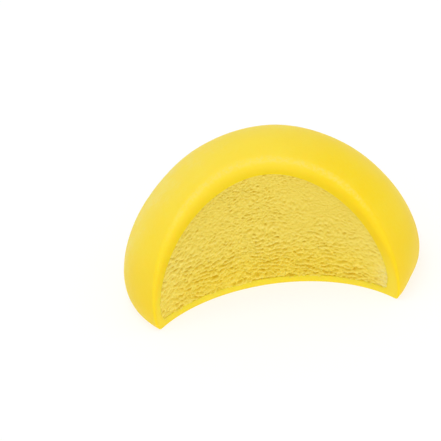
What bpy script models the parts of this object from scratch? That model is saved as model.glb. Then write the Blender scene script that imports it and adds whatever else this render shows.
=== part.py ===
# Half of a round mochi: a thin rice dough skin round an ice cream filling, bitten through the middle.
# Metres, Z up. The flat underside rests on z = 0, the hollow bite faces -Y and the round back +Y.

import math

import bmesh
import bpy

# Whole sweet, a body of revolution about the z axis
EQUATOR_RADIUS = 0.0230
EQUATOR_HEIGHT = 0.0030
DOME_RISE = 0.0208
DOME_FULLNESS = 1.77
BASE_RADIUS = 0.0219

# Soft swells and dents of the dome: section angle, swing from the back and spread in degrees, and rise
DOME_SWELLS = (
    (168.0, 70.0, 26.0, -0.00045),
    (110.0, 48.0, 24.0, -0.00030),
    (5.0, 66.0, 28.0, -0.00030),
    (30.0, 98.0, 26.0, 0.00070),
)
SWELL_FADE_HEIGHT = 0.005

# The foot is tucked in behind the right tip of the bite: angle from the right towards the back and spread in
# degrees, depth at the underside, and the height where it is gone
TUCK_AZIMUTH = -20.0
TUCK_SPREAD = 12.5
TUCK_DEPTH = 0.00058
TUCK_FADE_HEIGHT = 0.007

# Bite: an upright hollow, deepest in the middle, leaning over and flattening towards the top
BITE_DEPTH = 0.0032
BITE_LEAN = 0.14
BITE_RADIUS = 0.0216
BITE_RADIUS_GROWTH = 0.155

# Dough: the filling's foot sits off centre to the left and its axis leans back over, so the dough is
# thin at the left foot, thick at the right foot and even above
SKIN_TOP = 0.00185
SKIN_SIDE = 0.0020
SKIN_BASE = 0.0012
FILLING_SHIFT = -0.00073
FILLING_LEAN = 0.068
FILLING_EQUATOR = 0.0035
FILLING_FULLNESS = 1.64
FIT_GAP = 0.0003

# Bitten edge of the dough, turned over softly on top and left crisp underneath
LIP_TOP = 0.0016
LIP_FOOT = 0.0003
LIP_RISE = 0.7
LIP_SHARE_OF_CUT = 0.7
FILLING_RECESS = 0.0005
FILLING_EDGE = 0.0004

# Sections fan out round a line that runs from the middle of the bite to the back
HUB_HEIGHT = 0.0085
LONGEST_REACH = 0.04
BITE_SWINGS = (60.0, 160.0)
ARCH_SECTIONS = 50
FOOT_SECTIONS = 24
CORNER_CROWDING = 0.7
BACK_ROWS = 23
EDGE_ROWS = 5
FILLING_EDGE_ROWS = 2
WALL_ROWS = 17
FACE_ROWS = 7
TRACE_STEPS = 110
BEND_WEIGHT = 0.007
HALVINGS = 28

SKIN_COLOUR = (0.93, 0.68, 0.04, 1.0)
SKIN_ROUGHNESS = 0.45
FILLING_COLOUR = (0.82, 0.60, 0.15, 1.0)
FILLING_ROUGHNESS = 0.7


def towards(spoke, swing):
    """The direction of a ray from the hub that swings forward from the back, in the section at this spoke."""
    across = math.sin(swing)
    return (across * math.cos(spoke), math.cos(swing), across * math.sin(spoke))


def smooth_step(share):
    """A smooth rise from 0 to 1, level beyond both ends."""
    share = max(0.0, min(1.0, share))
    return share * share * (3.0 - 2.0 * share)


def angle_between(first, second):
    aligned = sum(a * b for a, b in zip(first, second)) / (math.hypot(*first) * math.hypot(*second))
    return math.acos(max(-1.0, min(1.0, aligned)))


class Body:
    """A dome on a low rounded foot, round an axis that may lean sideways, its soft swells and its tuck."""

    def __init__(self, shift, lean, radius, floor, equator, top, foot, fullness, swells=(), tuck=0.0):
        self.shift = shift
        self.lean = lean
        self.radius = radius
        self.floor = floor
        self.equator = equator
        self.top = top
        self.foot = foot
        self.fullness = fullness
        self.swells = [
            (towards(math.radians(spoke), math.radians(swing)), math.radians(spread), rise)
            for spoke, swing, spread, rise in swells
        ]
        self.tuck = tuck

    def radius_at(self, z):
        if z >= self.equator:
            climb = min((z - self.equator) / (self.top - self.equator), 1.0)
            return self.radius * (1.0 - climb**self.fullness) ** (1.0 / self.fullness)
        fall = (self.equator - z) / (self.equator - self.floor)
        return self.foot + (self.radius - self.foot) * math.sqrt(max(0.0, 1.0 - fall * fall))

    def axis_x(self, z):
        """How far to the side the axis is at a height."""
        return self.shift + self.lean * (z - self.floor)

    def room_sideways(self, x, y, z):
        """How far a place is inside the body, seen from above: the tuck is a bell curve round the axis."""
        offset = x - self.axis_x(z)
        apart = (math.degrees(math.atan2(y, offset)) - TUCK_AZIMUTH) / TUCK_SPREAD
        tucked = self.tuck * math.exp(-apart * apart) * (1.0 - smooth_step(z / TUCK_FADE_HEIGHT))
        return self.radius_at(z) - tucked - math.hypot(offset, y)

    def holds(self, x, y, z):
        return self.floor <= z <= self.top and self.room_sideways(x, y, z) >= 0.0

    def swell(self, ray, height):
        """How far the surface is pushed out along a ray: bell curves that fade out at the underside."""
        pushed = 0.0
        for middle, spread, rise in self.swells:
            pushed += rise * math.exp(-((angle_between(ray, middle) / spread) ** 2))
        return pushed * smooth_step(height / SWELL_FADE_HEIGHT)


def body_inside(skin_gap):
    """The filling's space in the dough, pulled in by a further gap on every side."""
    return Body(
        shift=FILLING_SHIFT,
        lean=FILLING_LEAN,
        radius=EQUATOR_RADIUS - SKIN_SIDE - skin_gap,
        floor=SKIN_BASE + skin_gap,
        equator=FILLING_EQUATOR,
        top=EQUATOR_HEIGHT + DOME_RISE - SKIN_TOP - skin_gap,
        foot=BASE_RADIUS - SKIN_SIDE - skin_gap,
        fullness=FILLING_FULLNESS,
    )


def bite_y(x, z):
    """Where the bite lies, at a place across it and up it."""
    radius = BITE_RADIUS + BITE_RADIUS_GROWTH * z
    across = math.sqrt(max(radius * radius - x * x, 0.0))
    return across - radius - BITE_DEPTH - BITE_LEAN * z


def halved(low, high, is_low):
    """The place between two where the test stops holding, by halving."""
    for _ in range(HALVINGS):
        middle = 0.5 * (low + high)
        if is_low(middle):
            low = middle
        else:
            high = middle
    return 0.5 * (low + high)


def on_body(body, spoke, swing):
    """The body's surface along a ray from the hub, swells included."""
    ray = towards(spoke, swing)

    def along(reach):
        return (reach * ray[0], reach * ray[1], HUB_HEIGHT + reach * ray[2])

    reach = halved(0.0, LONGEST_REACH, lambda tried: body.holds(*along(tried)))
    return along(reach + body.swell(ray, along(reach)[2]))


def traced_rows(body, spoke, last_swing, rows):
    """Points of the section from the back, set closer together where it bends."""
    traced = [on_body(body, spoke, last_swing * step / TRACE_STEPS) for step in range(TRACE_STEPS + 1)]
    paid = [0.0]
    for step in range(1, TRACE_STEPS + 1):
        price = math.dist(traced[step - 1], traced[step])
        if step < TRACE_STEPS:
            price += BEND_WEIGHT * turn_at(traced[step - 1], traced[step], traced[step + 1])
        paid.append(paid[-1] + price)
    placed = []
    step = 1
    for row in range(1, rows + 1):
        wanted = paid[-1] * row / rows
        while step < TRACE_STEPS and paid[step] < wanted:
            step += 1
        share = (wanted - paid[step - 1]) / (paid[step] - paid[step - 1])
        placed.append(on_body(body, spoke, last_swing * (step - 1 + share) / TRACE_STEPS))
    return placed


def turn_at(before, middle, after):
    """The angle between two steps that follow each other."""
    first = [b - a for a, b in zip(before, middle)]
    second = [b - a for a, b in zip(middle, after)]
    return angle_between(first, second)


def front_swing(body, spoke, recess):
    """How far forward the section swings before it meets the bite."""

    def behind_bite(swing):
        x, y, z = on_body(body, spoke, swing)
        return y > bite_y(x, z) + recess

    nearest, furthest = BITE_SWINGS
    return halved(math.radians(nearest), math.radians(furthest), behind_bite)


def on_bite(spoke, reach, recess):
    """A point of the bitten face, at this reach out from the hub line."""
    x = reach * math.cos(spoke)
    z = HUB_HEIGHT + reach * math.sin(spoke)
    return (x, bite_y(x, z) + recess, z)


def between(a, b, share):
    return tuple(p + (q - p) * share for p, q in zip(a, b))


def turned_edge(before, corner, after, rows):
    """A soft edge from one face to the next, as a quadratic curve pulled to the sharp corner."""
    edge = []
    for row in range(rows + 1):
        share = row / rows
        edge.append(between(between(before, corner, share), between(corner, after, share), share))
    return edge


def reach_of(point):
    return math.hypot(point[0], point[2] - HUB_HEIGHT)


def lip_size(height):
    """The roll of the dough's bitten edge: full on top and nearly nothing at the foot."""
    return LIP_FOOT + (LIP_TOP - LIP_FOOT) * height**LIP_RISE


def skin_section(outside, inside, spoke, inner_spoke, height):
    """The dough from its back, over the outside and the lip, and back along the filling's space."""
    corner_swing = front_swing(outside, spoke, 0.0)
    corner = on_body(outside, spoke, corner_swing)
    roll = lip_size(height)
    start_swing = corner_swing - roll / math.dist(corner, (0.0, 0.0, HUB_HEIGHT))
    *points, before = traced_rows(outside, spoke, start_swing, BACK_ROWS)

    mouth_swing = front_swing(inside, inner_spoke, 0.0)
    mouth = on_body(inside, inner_spoke, mouth_swing)
    cut_width = reach_of(corner) - reach_of(mouth)
    after = on_bite(spoke, reach_of(corner) - min(roll, LIP_SHARE_OF_CUT * cut_width), 0.0)
    points += turned_edge(before, corner, after, EDGE_ROWS)

    points += reversed(traced_rows(inside, inner_spoke, mouth_swing, WALL_ROWS))
    return points


def filling_section(body, spoke, height):
    """The filling from its back, along its side, and over the bitten face to the middle."""
    recess = FILLING_RECESS * height
    corner_swing = front_swing(body, spoke, recess)
    corner = on_body(body, spoke, corner_swing)
    start_swing = corner_swing - FILLING_EDGE / math.dist(corner, (0.0, 0.0, HUB_HEIGHT))
    *points, before = traced_rows(body, spoke, start_swing, WALL_ROWS)
    edge_reach = reach_of(corner) - FILLING_EDGE
    after = on_bite(spoke, edge_reach, recess)
    points += turned_edge(before, corner, after, FILLING_EDGE_ROWS)
    for row in range(FACE_ROWS - 1, 0, -1):
        share = row / FACE_ROWS
        points.append(on_bite(spoke, edge_reach * share, recess * share))
    return points


def foot_corner(body, side):
    """The angle at which a section runs to the corner where the bite meets the rim underneath."""

    def within_rim(offset):
        x = side * offset
        return body.room_sideways(x, bite_y(x, body.floor), body.floor) > 0.0

    return math.atan2(body.floor - HUB_HEIGHT, side * halved(0.0, body.foot, within_rim))


def crowded(share):
    """An even share of the way moved towards the nearer end, where the corners are."""
    return share - CORNER_CROWDING * math.sin(2.0 * math.pi * share) / (2.0 * math.pi)


def spokes(body):
    """Section angles round the bite, with its height share: up over the arch, then back along the foot."""
    right = foot_corner(body, 1.0)
    left = foot_corner(body, -1.0) + 2.0 * math.pi
    listed = []
    for index in range(ARCH_SECTIONS):
        share = crowded(index / ARCH_SECTIONS)
        listed.append((right + share * (left - right), math.sin(math.pi * share)))
    for index in range(FOOT_SECTIONS):
        share = crowded(index / FOOT_SECTIONS)
        listed.append((left + share * (right + 2.0 * math.pi - left), 0.0))
    return listed


def plain_material(name, colour, roughness):
    material = bpy.data.materials.new(name + "_material")
    material.use_nodes = True
    shader = material.node_tree.nodes["Principled BSDF"]
    shader.inputs["Base Color"].default_value = colour
    shader.inputs["Roughness"].default_value = roughness
    shader.inputs["Metallic"].default_value = 0.0
    return material


def lofted(name, sections, first_pole, last_pole, material, collection):
    """One closed skin over sections that all start at one pole and end at the other."""
    mesh = bpy.data.meshes.new(name)
    loft = bmesh.new()
    start = loft.verts.new(first_pole)
    end = loft.verts.new(last_pole)
    rings = [[loft.verts.new(point) for point in section] for section in sections]
    for ring, following in zip(rings, rings[1:] + rings[:1]):
        loft.faces.new((start, ring[0], following[0]))
        for row in range(len(ring) - 1):
            loft.faces.new((ring[row], ring[row + 1], following[row + 1], following[row]))
        loft.faces.new((ring[-1], end, following[-1]))
    bmesh.ops.recalc_face_normals(loft, faces=loft.faces)
    for face in loft.faces:
        face.smooth = True
    loft.to_mesh(mesh)
    loft.free()
    mesh.materials.append(material)

    made = bpy.data.objects.new(name, mesh)
    collection.objects.link(made)
    return made


def make_skin(outside, space, collection):
    sections = [
        skin_section(outside, space, spoke, inner_spoke, height)
        for (spoke, height), (inner_spoke, _) in zip(spokes(outside), spokes(space))
    ]
    material = plain_material("mochi_skin", SKIN_COLOUR, SKIN_ROUGHNESS)
    back_outside = on_body(outside, 0.0, 0.0)
    back_inside = on_body(space, 0.0, 0.0)
    lofted("mochi_skin", sections, back_outside, back_inside, material, collection)


def make_filling(core, space, collection):
    sections = [filling_section(core, spoke, height) for spoke, height in spokes(space)]
    material = plain_material("ice_cream_filling", FILLING_COLOUR, FILLING_ROUGHNESS)
    back = on_body(core, 0.0, 0.0)
    face_middle = on_bite(0.0, 0.0, 0.0)
    lofted("ice_cream_filling", sections, back, face_middle, material, collection)


def build():
    for old in list(bpy.data.objects):
        bpy.data.objects.remove(old, do_unlink=True)
    collection = bpy.data.collections.new("mochi_half")
    bpy.context.scene.collection.children.link(collection)

    dome_top = EQUATOR_HEIGHT + DOME_RISE
    outside = Body(
        shift=0.0,
        lean=0.0,
        radius=EQUATOR_RADIUS,
        floor=0.0,
        equator=EQUATOR_HEIGHT,
        top=dome_top,
        foot=BASE_RADIUS,
        fullness=DOME_FULLNESS,
        swells=DOME_SWELLS,
        tuck=TUCK_DEPTH,
    )
    space = body_inside(0.0)
    make_skin(outside, space, collection)
    make_filling(body_inside(FIT_GAP), space, collection)


build()
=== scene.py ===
import math

import bpy
import numpy as np
from mathutils import Matrix


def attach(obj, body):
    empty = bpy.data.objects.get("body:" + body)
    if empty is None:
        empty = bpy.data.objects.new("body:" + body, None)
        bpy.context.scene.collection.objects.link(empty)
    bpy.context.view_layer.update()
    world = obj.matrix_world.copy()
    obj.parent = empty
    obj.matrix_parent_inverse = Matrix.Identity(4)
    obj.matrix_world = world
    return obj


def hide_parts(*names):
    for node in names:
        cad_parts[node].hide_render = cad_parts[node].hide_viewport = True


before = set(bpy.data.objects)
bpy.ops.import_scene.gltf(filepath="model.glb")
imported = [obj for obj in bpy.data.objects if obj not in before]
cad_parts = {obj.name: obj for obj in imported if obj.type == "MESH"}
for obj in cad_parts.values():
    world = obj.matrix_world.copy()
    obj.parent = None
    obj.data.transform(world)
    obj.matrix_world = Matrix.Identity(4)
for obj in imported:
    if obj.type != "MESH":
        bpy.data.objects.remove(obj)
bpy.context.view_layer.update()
mm = 0.001
print("frame loaded")

# Camera first: it sees the bitten face from the front, from above, and a little rolled

view = {
    "elevation": 28.0,         # degrees above the table
    "roll": 7.34,              # degrees, the sweet's right side stands higher in the picture
    "distance": 450 * mm,
    "pixelsPerMetre": 6510.0,  # at the aim point, in a picture 441 pixels wide
    "aim": (0.0, 0.0, 9 * mm),
    "aimPixel": (266.5, 222.7),
    "pictureWidth": 441.0,
    "sensor": 36.0,            # millimetres, the lens is worked out to suit
    "nearest": 10 * mm,
}


def placeCamera(v):
    # The camera stands on a line at that elevation, turned about it by the roll. It looks past the aim point
    # by as much as puts that point on its pixel, counted from the middle of the first one
    tip, roll = math.radians(v["elevation"]), math.radians(v["roll"])
    across = np.array([1.0, 0.0, 0.0])
    upward = np.array([0.0, math.sin(tip), math.cos(tip)])
    back = np.array([0.0, -math.cos(tip), math.sin(tip)])
    right = math.cos(roll) * across - math.sin(roll) * upward
    top = math.sin(roll) * across + math.cos(roll) * upward
    middle = (v["pictureWidth"] - 1) / 2
    offRight = (v["aimPixel"][0] - middle) / v["pixelsPerMetre"]
    offTop = (middle - v["aimPixel"][1]) / v["pixelsPerMetre"]
    eye = np.array(v["aim"]) + back * v["distance"]
    back = back * v["distance"] + right * offRight + top * offTop
    back /= np.linalg.norm(back)
    right = np.cross(top, back)
    right /= np.linalg.norm(right)
    top = np.cross(back, right)
    camera = bpy.data.objects.new("camera", bpy.data.cameras.new("camera"))
    turned = np.eye(4)
    turned[:3] = np.stack([right, top, back, eye], 1)
    camera.matrix_world = Matrix(turned.tolist())
    camera.data.sensor_width = v["sensor"]
    camera.data.lens = v["sensor"] * v["distance"] * v["pixelsPerMetre"] / v["pictureWidth"]
    camera.data.clip_start = v["nearest"]
    bpy.context.scene.collection.objects.link(camera)
    bpy.context.scene.camera = camera


placeCamera(view)
print("camera placed")

# The sweet's form, the same as the solids have

sweet = {
    "radius": 23.0 * mm,          # at the equator
    "equatorHeight": 3.0 * mm,
    "domeRise": 20.8 * mm,
    "domeFullness": 1.77,         # 2 is a plain ellipsoid, less is slimmer at the shoulder
    "baseRadius": 21.9 * mm,
    "hubHeight": 8.5 * mm,        # sections fan out round a line at this height, front to back
    "skinTop": 1.85 * mm,
    "skinSide": 2.0 * mm,
    "skinBase": 1.2 * mm,
    "fillingShift": -0.73 * mm,   # the filling's foot sits to the left
    "fillingLean": 0.068,         # and its axis leans back over by this share of the height
    "fillingEquator": 3.5 * mm,
    "fillingFullness": 1.64,
    "swellFade": 5.0 * mm,        # the swells below fade out from this height down to the table
    "farOut": 40.0 * mm,          # every ray from the hub has left the sweet by here
}

# Soft swells and dents of the dome, each round a direction seen from the hub, in degrees
domeSwells = [
    {"spoke": 168, "swing": 70, "spread": 26, "rise": -0.45 * mm},
    {"spoke": 110, "swing": 48, "spread": 24, "rise": -0.30 * mm},
    {"spoke": 5, "swing": 66, "spread": 28, "rise": -0.30 * mm},
    {"spoke": 30, "swing": 98, "spread": 26, "rise": 0.70 * mm},
]

# The foot is tucked in behind the right tip of the bite
footTuck = {
    "azimuth": -20.0,             # degrees from the right, counted towards the back
    "spread": 12.5,
    "depth": 0.58 * mm,
    "fade": 7.0 * mm,             # it is gone at this height
}

bite = {
    "ahead": 3.2 * mm,            # the hollow's deepest place stands this far in front of the sweet's axis
    "lean": 0.14,                 # and comes forward by this share of the height
    "radius": 21.6 * mm,          # of the hollow, seen from above, at the table
    "radiusGrowth": 0.155,        # which grows by this share of the height, so the hollow flattens
    "swings": (60.0, 160.0),      # degrees from the back, a section meets the bite between these two
}

outerBody = {
    "shift": 0.0,
    "lean": 0.0,
    "radius": sweet["radius"],
    "floor": 0.0,
    "equator": sweet["equatorHeight"],
    "top": sweet["equatorHeight"] + sweet["domeRise"],
    "foot": sweet["baseRadius"],
    "fullness": sweet["domeFullness"],
    "swells": domeSwells,
    "tuck": footTuck["depth"],
}


def bodyInside(pull):
    # The filling's space: the outer body less the dough, and less this further pull on every side
    return {
        "shift": sweet["fillingShift"],
        "lean": sweet["fillingLean"],
        "radius": sweet["radius"] - sweet["skinSide"] - pull,
        "floor": sweet["skinBase"] + pull,
        "equator": sweet["fillingEquator"],
        "top": sweet["equatorHeight"] + sweet["domeRise"] - sweet["skinTop"] - pull,
        "foot": sweet["baseRadius"] - sweet["skinSide"] - pull,
        "fullness": sweet["fillingFullness"],
        "swells": [],
        "tuck": 0.0,
    }


def smoothStep(low, high, value):
    # 0 below the low limit, 1 above the high one, and 3t^2 - 2t^3 between them
    part = np.clip((value - low) / (high - low), 0, 1)
    return part * part * (3 - 2 * part)


def radiusAt(body, z):
    # Above the equator (r/R)^n + climb^n = 1; below it a quarter ellipse runs in to the flat foot
    fullness = body["fullness"]
    climb = np.clip((z - body["equator"]) / (body["top"] - body["equator"]), 0, 1)
    fall = np.clip((body["equator"] - z) / (body["equator"] - body["floor"]), 0, 1)
    upper = body["radius"] * (1 - climb**fullness) ** (1 / fullness)
    lower = body["foot"] + (body["radius"] - body["foot"]) * np.sqrt(1 - fall**2)
    return np.where(z >= body["equator"], upper, lower)


def axisX(body, z):
    # Where the body's axis is at a height, if it leans sideways
    return body["shift"] + body["lean"] * (z - body["floor"])


def sideways(body, x, y, z):
    # How far a place is inside the body, seen from above: the radius, less the distance to the axis, and
    # less the tuck, which is a bell curve of the angle round the axis and fades with height
    offset = x - axisX(body, z)
    apart = (np.degrees(np.arctan2(y, offset)) - footTuck["azimuth"]) / footTuck["spread"]
    tuck = body["tuck"] * np.exp(-apart**2) * (1 - smoothStep(0, footTuck["fade"], z))
    return radiusAt(body, z) - tuck - np.hypot(offset, y)


def biteY(x, z):
    # The back of a circle seen from above, whose radius grows with height and whose rearmost place comes
    # forward with height
    radius = bite["radius"] + bite["radiusGrowth"] * z
    return np.sqrt(np.maximum(radius**2 - x**2, 0)) - radius - bite["ahead"] - bite["lean"] * z


def halved(low, high, isLow, times=32):
    # The place where the test stops holding, for whole arrays at once, by halving
    for _ in range(times):
        middle = (low + high) / 2
        held = isLow(middle)
        low, high = np.where(held, middle, low), np.where(held, high, middle)
    return (low + high) / 2


def towards(spoke, swing):
    # A unit step from the hub: it swings from the back (0) towards the front, in the half plane that stands
    # at the spoke's angle
    return np.stack([np.sin(swing) * np.cos(spoke), np.cos(swing), np.sin(swing) * np.sin(spoke)], -1)


def swellAlong(body, step, z):
    # How far the soft swells push the surface along its ray: bell curves of the angle from each one's middle
    pushed = np.zeros(z.shape)
    for swell in body["swells"]:
        middle = towards(math.radians(swell["spoke"]), math.radians(swell["swing"]))
        apart = np.degrees(np.arccos(np.clip(step @ middle, -1, 1)))
        pushed += swell["rise"] * np.exp(-(apart / swell["spread"]) ** 2)
    return pushed * smoothStep(0, sweet["swellFade"], z)


def onBody(body, spoke, swing):
    # Where a ray from the hub leaves the body, swells included
    spoke, swing = np.broadcast_arrays(spoke, swing)
    step = towards(spoke, swing)

    def inside(reach):
        x, y, z = reach * step[..., 0], reach * step[..., 1], sweet["hubHeight"] + reach * step[..., 2]
        within = (z >= body["floor"]) & (z <= body["top"])
        return within & (sideways(body, x, y, z) >= 0)

    reach = halved(np.zeros(spoke.shape), np.full(spoke.shape, sweet["farOut"]), inside)
    reach = reach + swellAlong(body, step, sweet["hubHeight"] + reach * step[..., 2])
    return reach[..., None] * step + np.array([0, 0, sweet["hubHeight"]])


def frontSwing(body, spoke, setBack=0.0):
    # How far a section swings forward before it meets the bite, or comes as near to it as the set-back
    def behindBite(swing):
        p = onBody(body, spoke, swing)
        return p[..., 1] > biteY(p[..., 0], p[..., 2]) + setBack

    low, high = (np.full(spoke.shape, math.radians(swing)) for swing in bite["swings"])
    return halved(low, high, behindBite)


def backPoint(body):
    # Where the ray straight to the back leaves the body: all sections meet there
    return onBody(body, np.array(0.0), np.array(0.0))


def footCorner(body, side):
    # The spoke angle of the corner where the bite meets the rim underneath
    def withinRim(offset):
        x = side * offset
        return sideways(body, x, biteY(x, body["floor"]), body["floor"]) > 0

    x = side * float(halved(np.array(0.0), np.array(body["foot"]), withinRim))
    return math.atan2(body["floor"] - sweet["hubHeight"], x)


def spokesRound(body, archCount, footCount, crowding=0.6):
    # Section angles round the bite with the height share of each. The share t of the way becomes
    # t - crowding sin(2 pi t) / 2 pi, so that they stand closer together at the two corners
    def crowded(count):
        share = np.arange(count) / count
        return share - crowding * np.sin(2 * np.pi * share) / (2 * np.pi)

    right = footCorner(body, 1.0)
    left = footCorner(body, -1.0) + 2 * math.pi
    arch, foot = crowded(archCount), crowded(footCount)
    angles = np.concatenate([right + arch * (left - right), left + foot * (right + 2 * math.pi - left)])
    heights = np.concatenate([np.sin(np.pi * arch), np.zeros(footCount)])
    return angles, heights


def rowsByBend(body, spoke, lastSwing, rows, bendWeight=6 * mm, steps=260):
    # Swings from the back to lastSwing, closer together where the section bends: each step is paid for by
    # its length and by the angle that it turns through
    share = np.linspace(0, 1, steps + 1)
    traced = onBody(body, spoke[:, None], lastSwing[:, None] * share)
    hops = np.diff(traced, axis=1)
    lengths = np.linalg.norm(hops, axis=2)
    turns = np.einsum("ijk,ijk->ij", hops[:, :-1], hops[:, 1:]) / (lengths[:, :-1] * lengths[:, 1:])
    price = lengths + bendWeight * np.pad(np.arccos(np.clip(turns, -1, 1)), ((0, 0), (1, 0)))
    paid = np.pad(np.cumsum(price, axis=1), ((0, 0), (1, 0)))
    wanted = np.linspace(0, 1, rows + 1)[1:]
    shares = np.stack([np.interp(wanted * line[-1], line, share) for line in paid])
    return lastSwing[:, None] * shares


# Noise for relief, from seeded lattices

def smoothNoise(points, scale, seed, size=64):
    # Random numbers from -1 to 1 on a lattice of that spacing, blended between lattice points by the share
    # 6t^5 - 15t^4 + 10t^3
    lattice = np.random.default_rng(seed).uniform(-1, 1, (size,) * points.shape[-1])
    places = points / np.asarray(scale)
    cell = np.floor(places).astype(int)
    part = places - cell
    part = part**3 * (part * (part * 6 - 15) + 10)
    total = np.zeros(points.shape[:-1])
    for corner in np.ndindex(*(2,) * points.shape[-1]):
        weight = np.prod(np.where(np.array(corner) == 1, part, 1 - part), axis=-1)
        total += weight * lattice[tuple(np.moveaxis((cell + np.array(corner)) % size, -1, 0))]
    return total


def layeredNoise(points, scale, seed, layers=2, fade=0.4):
    # Noise plus finer and fainter copies of itself
    scale = np.asarray(scale, float)
    return sum(fade**n * smoothNoise(points, scale / 2**n, seed + n) for n in range(layers))


def meshPiece(name, corners, faces, attributes):
    # Quads and triangles into one smooth mesh, with numbers at its corners for the materials. The faces are
    # turned round if the volume that they enclose comes out below 0
    quads, tris = faces
    fan = np.concatenate([tris, quads[:, [0, 1, 2]], quads[:, [0, 2, 3]]])
    a, b, c = corners[fan[:, 0]], corners[fan[:, 1]], corners[fan[:, 2]]
    if np.einsum("ij,ij->", a, np.cross(b, c)) < 0:
        quads, tris = quads[:, ::-1], tris[:, ::-1]
    loops = np.concatenate([quads.ravel(), tris.ravel()]).astype(np.int32)
    sizes = np.concatenate([np.full(len(quads), 4), np.full(len(tris), 3)]).astype(np.int32)
    starts = np.concatenate([[0], np.cumsum(sizes)[:-1]]).astype(np.int32)
    mesh = bpy.data.meshes.new(name)
    mesh.vertices.add(len(corners))
    mesh.vertices.foreach_set("co", corners.astype(np.float32).ravel())
    mesh.loops.add(len(loops))
    mesh.loops.foreach_set("vertex_index", loops)
    mesh.polygons.add(len(sizes))
    mesh.polygons.foreach_set("loop_start", starts)
    mesh.polygons.foreach_set("use_smooth", np.ones(len(sizes), bool))
    mesh.update(calc_edges=True)
    mesh.validate()
    for key, values in attributes.items():
        numbers = mesh.attributes.new(key, "FLOAT", "POINT").data
        numbers.foreach_set("value", values.astype(np.float32))
    piece = bpy.data.objects.new(name, mesh)
    bpy.context.scene.collection.objects.link(piece)
    print(name, len(quads) * 2 + len(tris), "triangles")
    return piece


def ringFaces(columns, rows, start):
    # Quads between the columns of a grid whose last column joins the first. A corner's number is the start
    # plus the column times the rows plus the row
    here = np.arange(columns)[:, None]
    row = np.arange(rows - 1)[None, :]
    after = (here + 1) % columns
    a = start + here * rows + row
    b = start + after * rows + row
    return np.stack([a, a + 1, b + 1, b], -1).reshape(-1, 4)


# Dough skin: a closed loft of sections, from the back over the outside, round the lip and back inside

dough = {
    "archSections": 300,
    "footSections": 130,
    "outsideRows": 130,
    "lipRows": 26,
    "wallRows": 8,
    "insideRows": 9,
    "lipTop": 2.2 * mm,           # how far the bitten edge is rolled over at the top
    "lipFoot": 0.25 * mm,         # and at its two feet and underneath
    "lipRise": 1.1,
    "lipShareOfCut": 0.8,
    "unevenness": 0.10 * mm,
    "unevenScale": 9 * mm,
    "unevenStart": 1.0,           # metres, where in the noise the sweet sits
    "unevenLip": 0.4,             # share of the unevenness at the inner end of the lip
    "unevenHeights": (0.4 * mm, 4 * mm),
    "unevenBack": 18.0,           # degrees round the back point over which it comes in
    "seed": 11,
}


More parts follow.
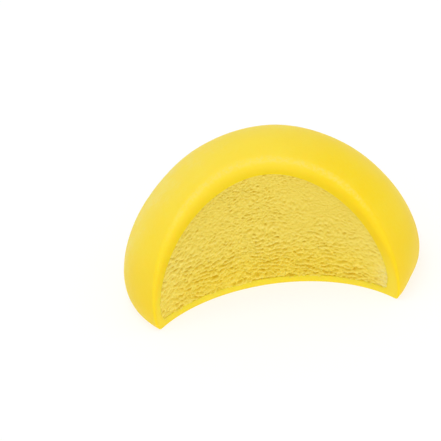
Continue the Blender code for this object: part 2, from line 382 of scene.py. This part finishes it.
def makeDough(d):
    # A grid of section by row. The outside and inside rows are where rays from the hub leave the two bodies,
    # and the cut wall between them lies on the bite
    spoke, height = spokesRound(outerBody, d["archSections"], d["footSections"])
    inner = bodyInside(0.0)
    innerSpoke, _ = spokesRound(inner, d["archSections"], d["footSections"])
    hub = np.array([0, 0, sweet["hubHeight"]])

    cornerSwing = frontSwing(outerBody, spoke)
    corner = onBody(outerBody, spoke, cornerSwing)
    roll = d["lipFoot"] + (d["lipTop"] - d["lipFoot"]) * height ** d["lipRise"]
    startSwing = cornerSwing - roll / np.linalg.norm(corner - hub, axis=1)
    outside = onBody(outerBody, spoke[:, None], rowsByBend(outerBody, spoke, startSwing, d["outsideRows"]))

    mouthSwing = frontSwing(inner, innerSpoke)
    mouth = onBody(inner, innerSpoke, mouthSwing)
    cornerReach = np.hypot(corner[:, 0], corner[:, 2] - hub[2])
    cutWidth = cornerReach - np.hypot(mouth[:, 0], mouth[:, 2] - hub[2])
    turnedReach = cornerReach - np.minimum(roll, d["lipShareOfCut"] * cutWidth)
    turned = np.stack([turnedReach * np.cos(spoke), 0 * spoke, hub[2] + turnedReach * np.sin(spoke)], 1)
    turned[:, 1] = biteY(turned[:, 0], turned[:, 2])

    # The lip is a quadratic curve from the outside to the cut face, pulled towards the sharp corner
    t = np.linspace(0, 1, d["lipRows"] + 1)[None, 1:, None]
    before = outside[:, -1][:, None]
    lip = (1 - t) ** 2 * before + 2 * t * (1 - t) * corner[:, None] + t**2 * turned[:, None]

    t = np.linspace(0, 1, d["wallRows"] + 1)[None, 1:, None]
    wall = turned[:, None] * (1 - t) + mouth[:, None] * t
    wall[..., 1] = biteY(wall[..., 0], wall[..., 2])
    backwards = np.linspace(1, 0, d["insideRows"] + 1)[1:-1]
    inside = onBody(inner, innerSpoke[:, None], mouthSwing[:, None] * backwards)
    rows = np.concatenate([outside, lip, wall, inside], 1)
    columns, rowCount = rows.shape[:2]
    lipFrom = outside.shape[1]
    wallFrom = lipFrom + lip.shape[1]
    insideFrom = wallFrom + wall.shape[1]

    # Soft unevenness: the outside swells and sinks with broad noise, less near the table, near the back
    # point and towards the mouth
    share = np.ones(rowCount)
    share[lipFrom:wallFrom] = np.linspace(1, d["unevenLip"], wallFrom - lipFrom)
    share[wallFrom:insideFrom] = np.linspace(d["unevenLip"], 0, insideFrom - wallFrom)
    share[insideFrom:] = 0
    outward = rows - hub
    outward /= np.linalg.norm(outward, axis=2)[..., None]
    swing = np.arctan2(np.hypot(outward[..., 0], outward[..., 2]), outward[..., 1])
    share = share * smoothStep(*d["unevenHeights"], rows[..., 2])
    share = share * smoothStep(0, math.radians(d["unevenBack"]), swing)
    swell = layeredNoise(rows + d["unevenStart"], [d["unevenScale"]] * 3, d["seed"]) * d["unevenness"]
    rows += outward * (swell * share)[..., None]

    # Corners 0 and 1 are the back points outside and inside, and a fan round each closes the grid
    corners = np.concatenate([[backPoint(outerBody), backPoint(inner)], rows.reshape(-1, 3)])
    first = 2 + np.arange(columns) * rowCount
    after = np.roll(first, -1)
    last = rowCount - 1
    outerFan = np.stack([np.zeros_like(first), first, after], 1)
    innerFan = np.stack([first + last, np.ones_like(first), after + last], 1)
    faces = (ringFaces(columns, rowCount, 2), np.concatenate([outerFan, innerFan]))

    # For the material: 0 outside, rising to 1 over the lip and to 2 over the cut wall, and 2 inside
    overLip = np.zeros(rowCount)
    overLip[lipFrom:wallFrom] = np.linspace(0, 1, wallFrom - lipFrom)
    overLip[wallFrom:insideFrom] = np.linspace(1, 2, insideFrom - wallFrom)
    overLip[insideFrom:] = 2
    lipAttribute = np.concatenate([[0, 2], np.tile(overLip, columns)])
    return meshPiece("doughSkin", corners, faces, {"lip": lipAttribute})


doughSkin = makeDough(dough)
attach(doughSkin, "root")
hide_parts("mochi_skin")

# Filling: its bitten face is a fine sheet with icy relief, closed by a plain cup at the back

filling = {
    "acrossCount": 430,
    "upCount": 205,
    "cupRows": 6,
    "tuckIn": 0.12 * mm,          # how far the filling runs in under the dough
    "shoulder": 52.0,             # degrees, where the sheet's top edge begins on the arch
    "setBackTop": 0.30 * mm,      # the face stands this far behind the bite's edge at the top
    "setBackFoot": 0.10 * mm,     # and at the foot
    "setBackHeights": (2 * mm, 16 * mm),
    "cupSetBack": 1.0 * mm,       # and the cup begins this far behind it
    "crumbHeight": 0.067 * mm,    # typical height of the relief at the top
    "footHeight": 0.168 * mm,     # and near the foot
    "fineHeight": 0.034 * mm,
    "crumb": {"period": 0.71 * mm, "length": 0.12 * mm, "spread": 0.58},
    "ripple": {"period": 0.77 * mm, "length": 0.38 * mm, "spread": 0.36},
    "clump": {"period": 0.94 * mm, "length": 0.17 * mm, "spread": 0.45},
    "fine": {"period": 0.40 * mm, "length": 0.06 * mm, "spread": 0.45},
    "rippleShare": 0.45,          # of the foot's relief in the middle
    "clumpShare": 0.60,           # and towards its two corners
    "calm": 0.40,                 # how much smoother the face is at its upper right
    "calmPlaces": (-8 * mm, 12 * mm),
    "calmLeft": 0.18,             # and at its left, above the foot
    "calmLeftPlaces": (5 * mm, 12 * mm),
    "calmHeights": (3.5 * mm, 8 * mm),
    "footHeights": (3 * mm, 14 * mm),    # the foot's relief fades out over these
    "cornerPlaces": (8 * mm, 14 * mm),   # distances from the middle over which its corners begin
    "patchSize": (4 * mm, 2.5 * mm),     # the relief is stronger and weaker in patches
    "patchMean": 0.9,
    "patchSwing": 0.3,
    "waverSize": (5 * mm, 4 * mm),
    "waverHeight": 0.5 * mm,
    "fineWaverSize": (1.8 * mm, 1.5 * mm),
    "fineWaverHeight": 0.15 * mm,
    "skew": 0.06,                 # hollows are narrower and deeper than crests
    "seed": 40,
}


def edgeLine(body, low, high, count, traced=600):
    # Even steps along the filling's edge on the bitten face, between two spoke angles
    spoke = np.linspace(low, high, traced)
    p = onBody(body, spoke, frontSwing(body, spoke))
    run = np.concatenate([[0], np.cumsum(np.hypot(np.diff(p[:, 0]), np.diff(p[:, 2])))])
    even = np.linspace(0, run[-1], count)
    return np.stack([np.interp(even, run, p[:, 0]), np.interp(even, run, p[:, 2])], 1)


def bandNoise(x, z, band, seed, spacing=0.05 * mm, size=(1024, 512)):
    # Random numbers on a fine lattice, filtered to a band: one period going up, give or take the spread, and
    # whatever is longer than the length going across. It is scaled to a typical size of 1 and read between
    # lattice points
    columns, rows = size
    noise = np.random.default_rng(seed).standard_normal(size)
    across = np.fft.fftfreq(columns, spacing)[:, None]
    upward = np.abs(np.fft.fftfreq(rows, spacing))[None, :]
    passed = np.exp(-0.5 * ((upward * band["period"] - 1) / band["spread"]) ** 2
                    - 0.5 * (2 * np.pi * across * band["length"]) ** 2)
    field = np.fft.ifft2(np.fft.fft2(noise) * passed).real
    field /= field.std()
    i, j = x / spacing, z / spacing
    i0, j0 = np.floor(i).astype(int), np.floor(j).astype(int)
    s, t = i - i0, j - j0
    a, b, c, d = (field[(i0 + p) % columns, (j0 + q) % rows] for p, q in ((0, 0), (1, 0), (0, 1), (1, 1)))
    return (a * (1 - s) + b * s) * (1 - t) + (c * (1 - s) + d * s) * t


def faceRelief(x, z, f):
    # Height of the icy surface: short crumb, with ripples near the foot and clumps at its two corners, on
    # wavering lines, plus finer grain. The first three are added by the roots of their shares, which keeps
    # the typical height. Also the height without the finer grain, as a share of the foot's typical height
    seed = f["seed"]
    flat = np.stack([x, z], -1)
    waver = smoothNoise(flat, f["waverSize"], seed) * f["waverHeight"]
    waver = waver + smoothNoise(flat, f["fineWaverSize"], seed + 1) * f["fineWaverHeight"]
    low = 1 - smoothStep(*f["footHeights"], z)
    side = smoothStep(*f["cornerPlaces"], np.abs(x)) * low
    patches = f["patchMean"] + f["patchSwing"] * smoothNoise(flat, f["patchSize"], seed + 2)
    calm = f["calm"] * smoothStep(*f["calmPlaces"], x)
    calm = calm + f["calmLeft"] * smoothStep(*f["calmLeftPlaces"], -x)
    patches *= 1 - smoothStep(*f["calmHeights"], z) * calm
    rippled, clumped = f["rippleShare"] * low * (1 - side), f["clumpShare"] * side
    blend = (np.sqrt(1 - rippled - clumped) * bandNoise(x, z + waver, f["crumb"], seed + 3)
             + np.sqrt(rippled) * bandNoise(x, z + waver, f["ripple"], seed + 4)
             + np.sqrt(clumped) * bandNoise(x, z + waver, f["clump"], seed + 5))
    blend -= f["skew"] * (blend**2 - 1)
    blend *= patches * (f["crumbHeight"] + (f["footHeight"] - f["crumbHeight"]) * low)
    return blend + f["fineHeight"] * bandNoise(x, z, f["fine"], seed + 6), blend / f["footHeight"]


def makeFilling(f):
    # The face is a grid of across by up on the bite, less the relief, and the cup is rays from the hub
    body = bodyInside(-f["tuckIn"])
    nu, nv = f["acrossCount"], f["upCount"]
    right, left = footCorner(body, 1.0), footCorner(body, -1.0) + 2 * math.pi
    shoulder = math.radians(f["shoulder"])
    rightEdge = edgeLine(body, right, shoulder, nv)
    leftEdge = edgeLine(body, left, math.pi - shoulder, nv)
    topEdge = edgeLine(body, math.pi - shoulder, shoulder, nu)
    footEdge = edgeLine(body, left, right + 2 * math.pi, nu)

    # Each point blends the four edges, less the blend of the four corners
    u = np.linspace(0, 1, nu)[:, None, None]
    v = np.linspace(0, 1, nv)[None, :, None]
    flat = (1 - v) * footEdge[:, None] + v * topEdge[:, None]
    flat = flat + (1 - u) * leftEdge[None] + u * rightEdge[None]
    flat = flat - ((1 - u) * (1 - v) * footEdge[0] + u * (1 - v) * footEdge[-1]
                   + (1 - u) * v * topEdge[0] + u * v * topEdge[-1])
    x, z = flat[..., 0], flat[..., 1]
    relief, reliefShare = faceRelief(x, z, f)
    setBack = f["setBackFoot"] + (f["setBackTop"] - f["setBackFoot"]) * smoothStep(*f["setBackHeights"], z)
    y = biteY(x, z) + setBack - relief
    face = np.stack([x, y, z], -1)

    # The sheet's rim in order, and a cup behind it that swings round to the back
    ij = np.arange(nu * nv).reshape(nu, nv)
    rim = np.concatenate([ij[:-1, 0], ij[-1, :-1], ij[:0:-1, -1], ij[0, :0:-1]])
    rimPoints = face.reshape(-1, 3)[rim]
    spoke = np.arctan2(rimPoints[:, 2] - sweet["hubHeight"], rimPoints[:, 0])
    swing = frontSwing(body, spoke, f["cupSetBack"])
    cup = onBody(body, spoke[:, None], swing[:, None] * np.linspace(1, 0, f["cupRows"] + 1)[:-1])
    corners = np.concatenate([face.reshape(-1, 3), cup.reshape(-1, 3), [backPoint(body)]])
    quads = np.stack([ij[:-1, :-1], ij[1:, :-1], ij[1:, 1:], ij[:-1, 1:]], -1).reshape(-1, 4)
    count, rows, start = len(rim), f["cupRows"], nu * nv
    here = np.arange(count)
    after = (here + 1) % count
    join = np.stack([rim[after], rim[here], start + here * rows, start + after * rows], 1)
    cupQuads = ringFaces(count, rows, start)
    tris = np.stack([start + here * rows + rows - 1, np.full(count, len(corners) - 1),
                     start + after * rows + rows - 1], 1)
    reliefAttribute = np.concatenate([reliefShare.ravel(), np.zeros(count * rows + 1)])
    return meshPiece("creamFilling", corners, (np.concatenate([quads, join, cupQuads]), tris),
                     {"relief": reliefAttribute})


creamFilling = makeFilling(filling)
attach(creamFilling, "root")
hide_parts("ice_cream_filling")

# Materials


class Socket:
    # A node's output that ordinary arithmetic can be written on: each operation adds one Math node
    def __init__(self, tree, out):
        self.tree, self.out = tree, out

    def maths(self, operation, *values):
        return self.tree.node("ShaderNodeMath", {"operation": operation}, dict(enumerate(values)))

    def __add__(self, other):
        return self.maths("ADD", self, other)

    def __radd__(self, other):
        return self.maths("ADD", other, self)

    def __sub__(self, other):
        return self.maths("SUBTRACT", self, other)

    def __rsub__(self, other):
        return self.maths("SUBTRACT", other, self)

    def __mul__(self, other):
        return self.maths("MULTIPLY", self, other)

    def __rmul__(self, other):
        return self.maths("MULTIPLY", other, self)

    def __neg__(self):
        return self.maths("MULTIPLY", self, -1.0)


class Finish:
    # A material whose nodes are added one call at a time
    def __init__(self, name):
        self.material = bpy.data.materials.new(name)
        self.material.use_nodes = True
        self.nodes = self.material.node_tree.nodes
        self.links = self.material.node_tree.links
        self.shader = self.nodes["Principled BSDF"]

    def node(self, kind, settings=None, values=None, output=0):
        # Any node: its settings go in first, then a constant or a link for each of its sockets
        made = self.nodes.new(kind)
        for key, value in (settings or {}).items():
            setattr(made, key, value)
        for key, value in (values or {}).items():
            self.put(made.inputs[key], value)
        return Socket(self, made.outputs[output])

    def put(self, socket, value):
        # A link from another node's output, or else a constant
        if isinstance(value, Socket):
            self.links.new(value.out, socket)
        else:
            socket.default_value = value

    def mix(self, share, first, second):
        # Two colours blended by a share. The node's sockets 6 and 7 are the colours in, and 2 is the one out
        return self.node("ShaderNodeMix", {"data_type": "RGBA"}, {0: share, 6: first, 7: second}, output=2)

    def step(self, value, low, high):
        # A smooth rise from 0 to 1 as the value goes from low to high
        return self.node("ShaderNodeMapRange", {"interpolation_type": "SMOOTHSTEP"},
                         {"Value": value, "From Min": low, "From Max": high})

    def noise(self, place, look):
        # Noise from 0 to 1, with layers of finer detail
        return self.node("ShaderNodeTexNoise", {},
                         {"Vector": place, "Scale": look["scale"], "Detail": look["detail"],
                          "Roughness": look["roughness"]})

    def spots(self, place, look):
        # Soft-edged spots: a smooth step of the noise between its two limits
        return self.step(self.noise(place, look), *look["limits"])

    def bump(self, height, look):
        return self.node("ShaderNodeBump", {}, {"Strength": look["strength"], "Distance": look["height"],
                                                "Height": height})

    def attribute(self, name):
        return self.node("ShaderNodeAttribute", {"attribute_name": name}, output="Fac")

    def place(self):
        return self.node("ShaderNodeTexCoord", output="Object")

    def part(self, vector, axis):
        # One of a place's three coordinates
        return self.node("ShaderNodeSeparateXYZ", {}, {"Vector": vector}, output=axis)

    def finished(self, **values):
        # The shader's own sockets, named with _ for each blank
        for key, value in values.items():
            self.put(self.shader.inputs[key.replace("_", " ")], value)
        return self.material


def colour(r, g, b):
    # A colour as seen on screen, 0 to 255, as Blender's shaders want it
    def straight(c):
        c = c / 255
        return c / 12.92 if c <= 0.04045 else ((c + 0.055) / 1.055) ** 2.4

    return (straight(r), straight(g), straight(b), 1.0)


# Noise scales are per metre. Pairs say from where to where a colour comes in or fades: heights, places to
# the right or left or back, and places over the lip, 0 outside, 1 at the cut wall and 2 inside
doughLook = {
    "bare": colour(254, 217, 20),
    "dustAndSheen": colour(255, 223, 62),
    "cutShade": colour(246, 209, 18),
    "foot": colour(250, 221, 54),
    "under": colour(246, 206, 8),
    "powderAndSheen": colour(255, 230, 118),
    "crestHighlight": colour(249, 224, 112),

    # The left is paler, most of all up on the dome: partly a dusting, partly painted sheen
    "dustAndSheenShare": 0.45,
    "dustAndSheenTopShare": 0.32,
    "paleMottleShare": 0.25,
    "paleSpeckShare": 0.15,
    "paleHeights": (8 * mm, 18 * mm),
    "paleRight": (0.0, 14 * mm),

    # Low down both flanks are deeper: painted shade where the dome turns under
    "flankShadeShare": 0.5,
    "rightFlank": (8 * mm, 18 * mm),
    "rightFlankHeights": (5 * mm, 14 * mm),
    "leftFlank": (10 * mm, 16 * mm),
    "leftFlankHeights": (4 * mm, 13 * mm),

    # Over the lip and inside it the dough is deeper, as painted shade in the recess of the cut, but paler
    # again near the table
    "cutShadeLip": (0.35, 1.2),
    "footCutHeights": (3 * mm, 10 * mm),

    # Powder lies on the left's back, and thinly on the rest of the back, and it also stands in for painted
    # sheen along those rims
    "powderAndSheenShare": 0.28,
    "powderPatchShare": 0.15,
    "powderSpeckShare": 0.35,
    "powderRoughness": 0.1,       # added where it lies thickest
    "powderBack": (-8 * mm, 0.0),
    "powderRight": (-19 * mm, 1 * mm),
    "thinPowder": 0.4,
    "thinPowderBack": (3 * mm, 12 * mm),

    # Along the crest of the lip it is paler, on top only: a painted highlight, with some powder
    "crestHighlightShare": 0.2,
    "crestSpeckShare": 0.35,
    "crestLipStart": (0.0, 0.25),
    "crestLipEnd": (0.35, 0.6),
    "crestHeights": (12 * mm, 18 * mm),

    "specks": {"scale": 2200.0, "detail": 3.0, "roughness": 0.6, "limits": (0.42, 0.60)},
    "mottle": {"scale": 160.0, "detail": 2.0, "roughness": 0.5, "limits": (0.35, 0.65)},
    "patches": {"scale": 420.0, "detail": 3.0, "roughness": 0.6, "limits": (0.40, 0.62)},
    "grain": {"scale": 1500.0, "detail": 3.0, "roughness": 0.6, "height": 0.06 * mm, "strength": 0.6},

    "roughness": 0.55,
    "shine": 0.15,
    "glow": 0.35,                 # share of the light that goes on under the surface
    "glowReach": 1.6 * mm,
    "glowColour": (1.0, 0.6, 0.1),
    "bloom": 0.08,
    "bloomRoughness": 0.4,
    "bloomColour": (1.0, 0.95, 0.7, 1.0),
}


def doughFinish(look):
    # Each colour is mixed over the ones before it, by masks of the place and of the lip
    m = Finish("softDough")
    place = m.place()
    right, back, height = (m.part(place, axis) for axis in "XYZ")
    lip = m.attribute("lip")
    specks, mottle, patches = (m.spots(place, look[name]) for name in ("specks", "mottle", "patches"))

    # Painted sheen, together with a real dusting: paler on the left and up on the dome
    dustAndSheen = look["dustAndSheenShare"] + look["dustAndSheenTopShare"] * m.step(height, *look["paleHeights"])
    dustAndSheen = dustAndSheen * (1 - m.step(right, *look["paleRight"]))
    dustAndSheen = dustAndSheen + look["paleMottleShare"] * mottle + look["paleSpeckShare"] * specks
    skin = m.mix(dustAndSheen, look["bare"], look["dustAndSheen"])

    # Painted shade low on both flanks, where the dome turns under
    rightFlank = m.step(right, *look["rightFlank"]) * (1 - m.step(height, *look["rightFlankHeights"]))
    leftFlank = m.step(-right, *look["leftFlank"]) * (1 - m.step(height, *look["leftFlankHeights"]))
    skin = m.mix(look["flankShadeShare"] * rightFlank + look["flankShadeShare"] * leftFlank, skin, look["under"])

    # Painted shade: deeper and more golden over the lip and on the cut wall, lifted to a paler colour near
    # the table
    cut = m.step(lip, *look["cutShadeLip"])
    skin = m.mix(cut, skin, look["cutShade"])
    skin = m.mix(cut * (1 - m.step(height, *look["footCutHeights"])), skin, look["foot"])

    # Partly powder, partly painted sheen along the left and back rims
    leftBack = m.step(back, *look["powderBack"]) * (1 - m.step(right, *look["powderRight"]))
    powderAndSheenPlaces = leftBack + look["thinPowder"] * m.step(back, *look["thinPowderBack"]) * (1 - leftBack)
    powderAndSheen = look["powderAndSheenShare"] + look["powderPatchShare"] * patches
    powderAndSheen = powderAndSheen + look["powderSpeckShare"] * patches * specks
    skin = m.mix(powderAndSheenPlaces * powderAndSheen, skin, look["powderAndSheen"])

    # Painted highlight along the top of the lip's crest, with some powder
    crestHighlight = m.step(lip, *look["crestLipStart"]) * (1 - m.step(lip, *look["crestLipEnd"]))
    crestHighlight = crestHighlight * m.step(height, *look["crestHeights"])
    skin = m.mix(crestHighlight * (look["crestHighlightShare"] + look["crestSpeckShare"] * specks), skin, look["crestHighlight"])

    return m.finished(
        Base_Color=skin,
        Roughness=look["roughness"] + look["powderRoughness"] * leftBack,
        Normal=m.bump(m.noise(place, look["grain"]), look["grain"]),
        Specular_IOR_Level=look["shine"],
        Subsurface_Weight=look["glow"],
        Subsurface_Radius=look["glowColour"],
        Subsurface_Scale=look["glowReach"],
        Sheen_Weight=look["bloom"],
        Sheen_Roughness=look["bloomRoughness"],
        Sheen_Tint=look["bloomColour"],
    )


doughSkin.data.materials.append(doughFinish(doughLook))

# Pairs as for the dough, and the relief's are heights as shares of the foot's typical height
fillingLook = {
    # The hollow colour is painted shade in the relief's hollows, and the crest colour a painted highlight on
    # its tops
    "crestHighlight": colour(252, 231, 114),
    "body": colour(239, 214, 78),
    "hollow": colour(218, 186, 36),
    "foot": colour(246, 217, 34),
    "frostAndGlint": colour(246, 228, 140),

    "bodyRelief": (-1.5, 0.3),
    "crestRelief": (-0.2, 1.3),

    "footShare": 0.45,
    "footHeights": (3 * mm, 9 * mm),

    # Both flanks are painted paler, lifting the relief's own shade there, and a spot at the right corner is
    # frosted, with a painted glint
    "flankLiftShare": 0.3,
    "flankLift": (9 * mm, 17 * mm),
    "flankHeights": (9 * mm, 14 * mm),
    "frostShare": 0.3,
    "frostGrainShare": 0.6,
    "frostGrain": (0.42, 0.58),
    "frostRight": (14.8 * mm, 16.8 * mm),
    "frostHeights": (3.5 * mm, 6 * mm),

    "grain": {"scale": 3000.0, "detail": 3.0, "roughness": 0.6, "height": 0.10 * mm, "strength": 0.8},
    "roughness": 0.6,
    "glint": 0.15,                # smoother by this on the grain's tops
    "glintGrain": (0.5, 0.7),
    "glow": 0.08,
    "glowReach": 0.6 * mm,
    "glowColour": (1.0, 0.7, 0.3),
}


def fillingFinish(look):
    # Golden hollows as painted shade and pale crests as painted highlight, by the relief, more golden
    # towards the foot and painted paler at both flanks
    m = Finish("icyCream")
    place = m.place()
    right, height = m.part(place, "X"), m.part(place, "Z")
    relief = m.attribute("relief")
    grain = m.noise(place, look["grain"])

    # Painted shade in the hollows and painted highlight on the crests, by the relief's height
    tone = m.mix(m.step(relief, *look["bodyRelief"]), look["hollow"], look["body"])
    tone = m.mix(m.step(relief, *look["crestRelief"]), tone, look["crestHighlight"])
    tone = m.mix(look["footShare"] * (1 - m.step(height, *look["footHeights"])), tone, look["foot"])

    # The square of the place makes one mask serve both flanks
    flankLift = m.step(right * right, *(limit**2 for limit in look["flankLift"]))
    flankLift = flankLift * (1 - m.step(height, *look["flankHeights"]))
    # Painted light: both flanks are lifted towards the crest colour against the relief's own shade
    tone = m.mix(look["flankLiftShare"] * flankLift, tone, look["crestHighlight"])

    # Real frost at the right corner, with a painted glint in it
    frostAndGlint = m.step(right, *look["frostRight"]) * (1 - m.step(height, *look["frostHeights"]))
    frostAndGlint = frostAndGlint * (look["frostShare"] + look["frostGrainShare"] * m.step(grain, *look["frostGrain"]))
    tone = m.mix(frostAndGlint, tone, look["frostAndGlint"])

    return m.finished(
        Base_Color=tone,
        Roughness=look["roughness"] - look["glint"] * m.step(grain, *look["glintGrain"]),
        Normal=m.bump(grain, look["grain"]),
        Subsurface_Weight=look["glow"],
        Subsurface_Radius=look["glowColour"],
        Subsurface_Scale=look["glowReach"],
    )


creamFilling.data.materials.append(fillingFinish(fillingLook))
print("materials made")

# Table and light

studio = {
    "floorSize": 3.0,
    "floor": (0.30, 0.30, 0.30, 1.0),
    "floorRoughness": 0.9,
    "floorGlow": 0.71,            # light of its own, so that the floor stays white beside the sweet
    "surround": 0.74,
    "white": (1.0, 1.0, 1.0, 1.0),
    "keyPower": 0.8,
    "keySize": 0.35,
    "keyPlace": (-0.08, -0.02, 0.62),
    "fillPower": 0.9,
    "fillSize": 0.5,
    "fillPlace": (0.10, -0.65, 0.16),
}


def areaLight(name, place, power, size):
    # A square light that faces the sweet: tipped from straight down by its angle off the upright, and then
    # turned about the upright
    light = bpy.data.objects.new(name, bpy.data.lights.new(name, "AREA"))
    light.data.energy, light.data.size = power, size
    light.location = place
    right, back, drop = place[0], place[1], place[2] - view["aim"][2]
    tip = math.atan2(math.hypot(right, back), drop)
    light.rotation_euler = (tip, 0, math.atan2(-back, -right) - math.pi / 2)
    bpy.context.scene.collection.objects.link(light)


def makeStudio(s):
    # A flat square under the sweet, an even light from all round, and the two lights
    half = s["floorSize"] / 2
    mesh = bpy.data.meshes.new("table")
    floorCorners = [(-half, -half, 0), (half, -half, 0), (half, half, 0), (-half, half, 0)]
    mesh.from_pydata(floorCorners, [], [(0, 1, 2, 3)])
    table = bpy.data.objects.new("table", mesh)
    bpy.context.scene.collection.objects.link(table)
    mesh.materials.append(Finish("paleTable").finished(
        Base_Color=s["floor"], Roughness=s["floorRoughness"], Emission_Color=s["white"],
        Emission_Strength=s["floorGlow"]))
    world = bpy.data.worlds.new("surround")
    world.use_nodes = True
    sky = world.node_tree.nodes["Background"].inputs
    sky["Color"].default_value = s["white"]
    sky["Strength"].default_value = s["surround"]
    bpy.context.scene.world = world
    areaLight("keyLight", s["keyPlace"], s["keyPower"], s["keySize"])
    areaLight("fillLight", s["fillPlace"], s["fillPower"], s["fillSize"])
    bpy.context.scene.view_settings.view_transform = "Standard"


makeStudio(studio)
print("studio made")
